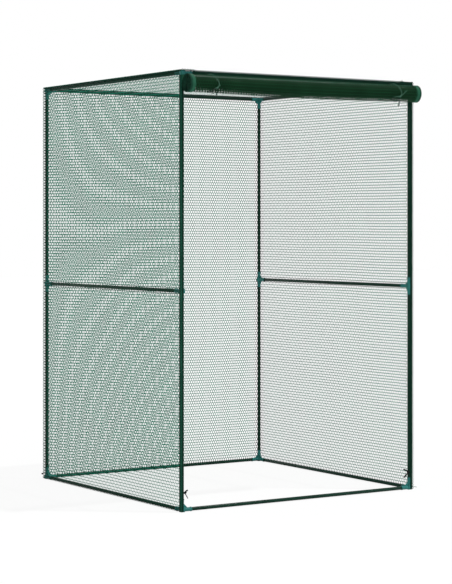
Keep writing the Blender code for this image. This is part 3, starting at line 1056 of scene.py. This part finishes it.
def wound_route():
    """The rolled net's middle line, from where the curtain reaches the roll's back in to the bore."""
    route = []
    gone = turned = 0.0
    while gone < DOOR_LENGTH + 2 * ROUTE_STEP:
        settled = smoothstep((turned - LOOSE_TURN) / SETTLING_TURN)
        loose = LOOSE_RADIUS - LOOSE_CREEP * min(turned / LOOSE_TURN, 1)
        past = max(turned - LOOSE_TURN - SETTLING_TURN, 0)
        core = CORE_RADIUS - CORE_PITCH * past / (2 * math.pi)
        radius = loose + (core - loose) * settled
        y = roll_y + radius * math.cos(turned)
        route.append((y, roll_z + CORE_RISE * settled - radius * math.sin(turned)))
        gone += ROUTE_STEP
        turned += ROUTE_STEP / radius
    return route


def slackened(obj):
    """Opens the roll's ends, draws it in at its ties, sags it between them, and marks its inner turns for
    painted shade.
    """
    covered = obj.data.attributes.new("covered", "FLOAT", "POINT")
    for vert, item in zip(obj.data.vertices, covered.data):
        y, z = vert.co.y - roll_y, vert.co.z - roll_z
        radius = math.hypot(y, z)
        past = max(radius - CORE_RADIUS, 0) / (LOOSE_RADIUS - CORE_RADIUS)
        outside = min(past, 1)
        from_end = roll_length / 2 - abs(vert.co.x - roll_x)
        opened = smoothstep((FLARE_START - from_end) / FLARE_LENGTH)
        spread = min(radius / CORE_RADIUS, 1) * FLARE_RADIUS + past * (LOOSE_RADIUS - FLARE_RADIUS)
        pinched = TIE_PINCH * math.exp(-(((abs(vert.co.x) - tie_x) / TIE_PINCH_REACH) ** 2))
        wander = WANDER * (1 + math.sin(WANDER_ALONG * vert.co.x + WANDER_ROUND * math.atan2(z, y))) / 2
        reach = radius + (spread - radius) * opened - outside * (pinched + wander)
        sag = EVEN_SAG + MIDDLE_SAG * max(0, 1 - (vert.co.x / tie_x) ** 2)
        lowered = sag * (1 - z / LOOSE_RADIUS) / 2
        # Painted shade on the roll's inner turns, full inside the loose turn
        item.value = 1 - outside
        vert.co = (vert.co.x, roll_y + y * reach / radius, roll_z + z * reach / radius - lowered)


def build_roll(netting, tape_cloth, shaded_cord_edge):
    """The rolled net, and its side tapes with their corded edges at the roll's ends, painted darker as shade.
    """
    route = wound_route()
    panel = shifted(net_panel("rolled_netting", roll_length, DOOR_LENGTH), roll_x, DOOR_LENGTH / 2, 0)
    slackened(laid_along(panel, route))
    dress(panel, [netting], "net", ROLL_BODY, "door_roll")
    hems = side_tapes("roll_hem", roll_length, DOOR_LENGTH)
    for hem in hems:
        slackened(laid_along(hem, route))
        settle(thickened(hem, TAPE_THICKNESS))
        dress(hem, [tape_cloth, shaded_cord_edge], "net", ROLL_BODY)
        # Painted shade along each tape's corded edge
        for face in hem.data.polygons:
            from_end = roll_length / 2 - abs(face.center.x - roll_x)
            face.material_index = int(from_end < TAPE_WIDTH * TAPE_CORD_SHARE)


# Ties


def tube_along(name, route, diameter):
    data = bpy.data.curves.new(name, "CURVE")
    data.dimensions = "3D"
    data.bevel_depth = diameter / 2
    data.bevel_resolution = 2
    data.use_fill_caps = True
    line = data.splines.new("POLY")
    line.points.add(len(route) - 1)
    for point, here in zip(line.points, route):
        point.co = (*here, 1)
    activate(new_object(name, data))
    bpy.ops.object.convert(target="MESH")
    return bpy.context.object


def twisted_cord(name, points, diameter):
    """Two plies laid round each other along a smooth route."""
    route = smooth_route(points, CORD_STEP)
    plies = []
    for ply in (0, math.pi):
        places = []
        for index, here in enumerate(route):
            heading = (route[min(index + 1, len(route) - 1)] - route[max(index - 1, 0)]).normalized()
            side = heading.orthogonal() if index == 0 else (side - heading * side.dot(heading)).normalized()
            turn = ply + 2 * math.pi * index * CORD_STEP / TIE_TWIST
            out = side * math.cos(turn) + heading.cross(side) * math.sin(turn)
            places.append(here + out * diameter / 4)
        plies.append(tube_along("ply", places, diameter * PLY_SHARE))
    return joined(name, plies)


def knot(place, size, diameter):
    """A tight three-crossing knot, pulled flat against what it is tied on; its curve is six units wide."""
    points = []
    for step in range(KNOT_STEPS + 1):
        t = 2 * math.pi * step / KNOT_STEPS
        x = math.sin(t) + 2 * math.sin(2 * t)
        z = math.cos(t) - 2 * math.cos(2 * t)
        points.append(Vector(place) + Vector((x, -math.sin(3 * t) * KNOT_FLATNESS, z)) * size / 6)
    return tube_along("knot", points, diameter)


def roll_point(angle, x):
    """On a tie's path round the roll, by its angle from the front towards the ground."""
    radius = roll_radius + tie_stand_off
    return Vector((x, roll_y - radius * math.cos(angle), roll_z - radius * math.sin(angle)))


def seat_point(angle, x):
    """On the sleeve, by its angle from the front towards the sky."""
    radius = tube_radius + TIE_SEAT_STEP
    return Vector((x, front_y - radius * math.cos(angle), high_z + radius * math.sin(angle)))


def offsets(start, steps):
    return [start + Vector(step) for step in steps]


def front_tie(side, x):
    """A roll tie's front half: from the sleeve over the roll to its knot, with its tail and loop."""
    route = [seat_point(TIE_FRONT_SEAT, x + TIE_SLANTS[0])]
    for degrees, slant in zip(range(-105, 30, 15), TIE_SLANTS):
        route.append(roll_point(math.radians(degrees), x + slant))
    route.append(roll_point(TIE_KNOT, x))
    tied = route[-1]
    route += offsets(tied, OVER_TAILS[side])
    over = twisted_cord(f"roll_tie_{side}_over", route, CORD_LOOK)
    tail = twisted_cord("tail", route[-2:] if side == "left" else route[-3:], TAIL_LOOK)
    loop = twisted_cord("loop", offsets(tied, TIE_LOOPS[side]), CORD_LOOK)
    middle_knot = tied + Vector((tie_stand_off, -CORD_LOOK / 2, 0))
    knotted = knot(middle_knot, ROLL_KNOT, CORD_LOOK * KNOT_CORD_SHARE)
    return joined(over.name, [over, tail, loop, knotted])


def back_tie(side, x):
    """A roll tie's back half: from the sleeve down behind the roll, and under it to the knot."""
    behind = curtain_high.y + tie_stand_off
    route = [seat_point(TIE_BACK_SEAT, x)]
    route += [Vector((x, behind, z)) for z in ((roll_z + curtain_high.z) / 2, roll_z)]
    route += [roll_point(math.radians(degrees), x) for degrees in range(160, 30, -15)]
    route.append(roll_point(TIE_KNOT, x))
    route += offsets(route[-1], UNDER_TAILS[side])
    return twisted_cord(f"roll_tie_{side}_under", route, CORD_LOOK)


def build_roll_ties(cord, shaded_cord):
    """Two cords round the roll, with painted shade where they hang below it or lie behind it."""
    for side, x in (("left", -tie_x), ("right", tie_x)):
        front = front_tie(side, x - tie_stand_off)
        back = back_tie(side, x + tie_stand_off)
        for piece, node in ((front, f"roll_tie_{side}_front"), (back, f"roll_tie_{side}_back")):
            dress(settle(piece), [cord, shaded_cord], "door_cord", FRAME_BODY, node)
            # Painted shade on the faces that hang below the roll or lie behind it
            for face in piece.data.polygons:
                below = face.center.z < roll_z - TIE_SHADE_BELOW
                face.material_index = int(below or face.center.y > roll_y + TIE_SHADE_BEHIND)
            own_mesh(piece)


def by_post(sign, points):
    """Places given from a front post's axis into the doorway, back and up."""
    return [(sign * (post_x - x), front_y + y, POST_TIE_HEIGHT + z) for x, y, z in points]


def build_post_ties(cord):
    """A cord once round each front post, knotted, with doubled tails that stand out like a Y."""
    rise = TIE_DIAMETER + TIE_CLEARANCE
    radius = tube_radius + tie_stand_off
    ring = []
    for step in range(RING_STEPS + 1):
        gone = step / RING_STEPS
        angle = RING_START + RING_TURN * gone
        ring.append((radius * math.cos(angle), radius * math.sin(angle), rise * (0.5 - gone)))
    for side, sign in (("left", -1), ("right", 1)):
        upper, lower = UPPER_TAILS[side], LOWER_TAILS[side]
        route = by_post(sign, [*upper, *ring, *lower])
        pieces = [twisted_cord(f"post_tie_cord_{side}", route, POST_CORD_LOOK)]
        pieces.append(twisted_cord("bight", by_post(sign, upper[::-1]), BIGHT_LOOK))
        if side == "right":
            pieces.append(twisted_cord("bight", by_post(sign, lower), BIGHT_LOOK))
        pieces.append(knot(by_post(sign, [POST_KNOT_PLACE])[0], POST_KNOT, POST_CORD_LOOK))
        piece = joined(f"post_tie_cord_{side}", pieces)
        dress(settle(piece), [cord], "post_cord", FRAME_BODY, f"post_tie_{side}")


def build_corner_cords(green, black):
    """The short ends of the cords that lace the nets to the bottom corners."""
    right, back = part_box("net_right")[1].x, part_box("net_back")[1].y
    for name, corner, lace, tied, diameter, cord in (
        ("corner_cord_right", (right, front_y, 0), RIGHT_LACE, 1, LACE_LOOK, green),
        ("corner_cord_left", (-right, back, 0), LEFT_LACE, -1, CORD_LOOK, black),
    ):
        route = offsets(Vector(corner), lace)
        end = twisted_cord(name, route, diameter)
        knotted = knot(route[tied], CORNER_KNOT, CORD_LOOK * KNOT_CORD_SHARE)
        dress(settle(joined(name, [end, knotted])), [cord], "post_cord", FRAME_BODY)


def build_scene():
    steel = coated_steel()
    plastic = moulded_plastic()
    netting = knitted_net("knitted_polyethylene", "#0f6c56", "#1b8067", "#0b3526")
    loop_net = knitted_net("knitted_polyethylene_edge", "#16493a", "#256350", "#0a2d20")
    # The same net as the walls, painted darker as shade where it lies in layers: the roll and the sleeve
    shaded_rolled_net = knitted_net("knitted_polyethylene_in_layers", "#133822", "#1b472d", "#081f10")
    dark_tape = hem_tape("woven_binding_tape", "#06251a", "#0b3024", 0.6)
    pale_tape = hem_tape("woven_hem_tape", "#1f4d3a", "#295e47", 0.5)
    # A darker copy of the hem tape, painted shade for its corded edge
    shaded_cord_edge = hem_tape("corded_hem_edge", "#13382a", "#1b4535", 0.6)
    green_cord = braided_cord("braided_polyester_cord", "#3b6351", "#527e6a")
    # A darker copy of the green cord, painted shade for the roll ties' shaded parts
    shaded_cord = braided_cord("braided_polyester_cord_end", "#0d2219", "#173527")
    black_cord = braided_cord("braided_black_cord", "#030504", "#0b0f0d")
    build_roll_ties(green_cord, shaded_cord)
    build_post_ties(black_cord)
    build_corner_cords(green_cord, black_cord)
    build_tubes(steel)
    build_connectors(plastic)
    build_nets(netting)
    build_net_edges(loop_net)
    build_bindings(dark_tape, loop_net)
    build_top_tape(dark_tape)
    build_seams(dark_tape)
    build_sleeve(shaded_rolled_net)
    build_curtain(netting, pale_tape)
    build_roll(shaded_rolled_net, pale_tape, shaded_cord_edge)


# Camera, floor and light


def build_camera():
    data = bpy.data.cameras.new("camera")
    data.sensor_width = 36
    data.lens = data.sensor_width * IMAGE_FOCUS / IMAGE_LONG_SIDE
    data.shift_y = (IMAGE_HORIZON - IMAGE_LONG_SIDE / 2) / IMAGE_LONG_SIDE
    data.clip_end = 100
    camera = new_object("camera", data)
    camera.location = Vector(CAMERA_PLACE) + Vector((0, middle_y, 0))
    camera.rotation_euler = (math.pi / 2, 0, CAMERA_YAW)
    bpy.context.scene.camera = camera


def pale_floor():
    """White backdrop paper, which the camera sees as white with faint shadows."""
    made, tree, shader = new_material("white_backdrop_paper", 0.9, 0.0)
    shader.inputs["Base Color"].default_value = linear("#f0f0f0")
    glow = add_node(tree, "Emission", Strength=FLOOR_GLOW)
    shade = add_node(tree, "BsdfDiffuse", Color=(FLOOR_SHADE, FLOOR_SHADE, FLOOR_SHADE, 1.0))
    seen = add_node(tree, "AddShader", {0: glow.outputs["Emission"], 1: shade.outputs["BSDF"]})
    from_camera = add_node(tree, "LightPath").outputs["Is Camera Ray"]
    inputs = {"Fac": from_camera, 1: shader.outputs["BSDF"], 2: seen.outputs["Shader"]}
    either = add_node(tree, "MixShader", inputs)
    tree.links.new(either.outputs["Shader"], tree.nodes["Material Output"].inputs["Surface"])
    return made


def build_floor():
    bpy.ops.mesh.primitive_plane_add(size=FLOOR_SIZE, location=(0, 0, -FLOOR_DROP))
    floor = bpy.context.object
    floor.name = "floor"
    floor.data.materials.append(pale_floor())
    floor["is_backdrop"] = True


def build_room():
    """A white room: full white where it is seen, mirrored or looked through at, dimmer as a light."""
    world = bpy.data.worlds.new("studio")
    bpy.context.scene.world = world
    world.use_nodes = True
    tree = world.node_tree
    rays = add_node(tree, "LightPath").outputs
    direct = add_node(tree, "Math", {0: rays["Is Camera Ray"], 1: rays["Is Glossy Ray"]})
    through = {0: direct.outputs[0], 1: rays["Is Transmission Ray"]}
    seen = add_node(tree, "Math", through, use_clamp=True)
    limits = {"To_Min": ROOM_LIGHT, "To_Max": ROOM_SEEN}
    strength = add_node(tree, "MapRange", {"Value": seen.outputs[0]}, **limits)
    backdrop = tree.nodes["Background"]
    backdrop.inputs["Color"].default_value = (1, 1, 1, 1)
    tree.links.new(strength.outputs["Result"], backdrop.inputs["Strength"])


def sun(name, strength, spread, turned):
    """A distant lamp, its spread and turn in degrees."""
    data = bpy.data.lights.new(name, "SUN")
    data.energy = strength
    data.angle = math.radians(spread)
    new_object(name, data).rotation_euler = [math.radians(part) for part in turned]


build_camera()
build_scene()
build_floor()
build_room()
sun("key", strength=2.0, spread=2.0, turned=(14, 18, 0))
sun("fill", strength=0.6, spread=40.0, turned=(60, -20, 0))
bpy.context.scene.view_settings.view_transform = "Standard"

boxes = {"cad": cad_box, "visual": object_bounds()}
{name: [list(corner) for corner in box] for name, box in boxes.items()}
